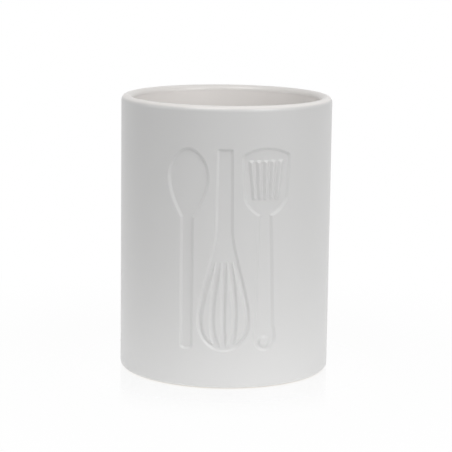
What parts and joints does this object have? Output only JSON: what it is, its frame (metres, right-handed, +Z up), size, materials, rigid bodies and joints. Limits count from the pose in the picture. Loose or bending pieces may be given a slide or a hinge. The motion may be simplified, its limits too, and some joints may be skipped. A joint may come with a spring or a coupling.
{
  "type": "utensil crock",
  "caption": "Straight-walled glazed ceramic crock, open at the top, with kitchen tool silhouettes sunk into its front; holds cooking utensils upright on a worktop.",
  "frame": {"origin": "centre of the base, on the surface that the crock stands on", "axes": "+Z up along the crock's own axis, -Y towards the front with the sunk figures, +X to the right seen from the front"},
  "size_m": [0.13, 0.13, 0.17],
  "materials": {
    "crock_body": "matt white coat on a fired clay body, dry foot ring",
    "glaze_lining": "gloss, warm white"
  },
  "bodies": {
    "root": {"crock_body": "crock_body", "glaze_lining": "glaze_lining"}
  },
  "joints": []
}
